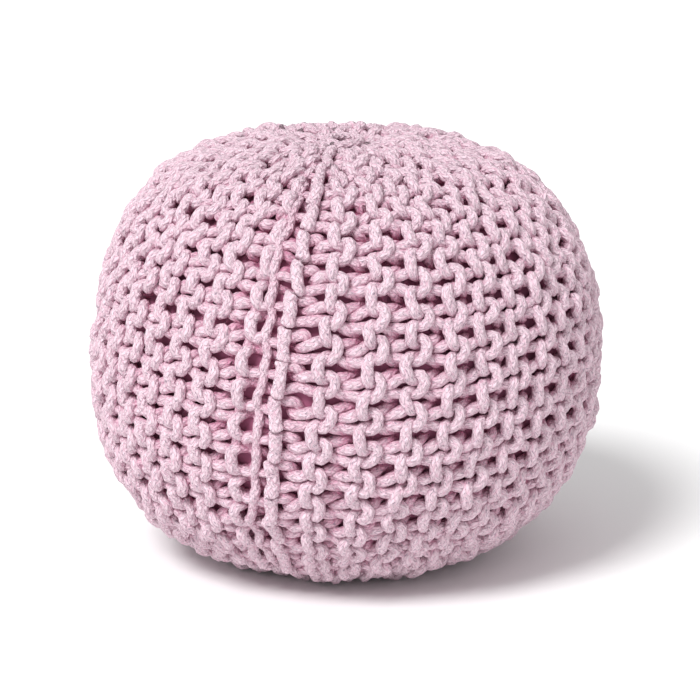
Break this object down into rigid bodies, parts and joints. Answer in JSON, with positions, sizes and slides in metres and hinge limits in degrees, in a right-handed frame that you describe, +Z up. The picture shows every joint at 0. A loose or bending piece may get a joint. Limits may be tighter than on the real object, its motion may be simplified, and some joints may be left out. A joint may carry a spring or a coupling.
{
  "type": "knitted pouf",
  "caption": "Round stuffed pouf in a thick cotton cord, knitted sideways in garter stitch with upright ridges, drawn in at crown and base and closed by a chain seam.",
  "frame": {"origin": "centre of the base on the floor", "axes": "+Z up along the axis through the two gathered ends, -Y towards the viewer with the seam slightly to the left of it"},
  "size_m": [0.5058, 0.5052, 0.4201],
  "materials": {
    "cotton_cord": "pale pink braided cotton cord, matt, with faint lilac-grey mottling",
    "casing_cloth": "plain dark rose cotton cloth, seen only as the dark between the stitches"
  },
  "bodies": {
    "root": {"knitted_cover": "cotton_cord", "seam_chain": "cotton_cord", "top_drawcord": "cotton_cord", "base_drawcord": "cotton_cord"}
  },
  "joints": []
}
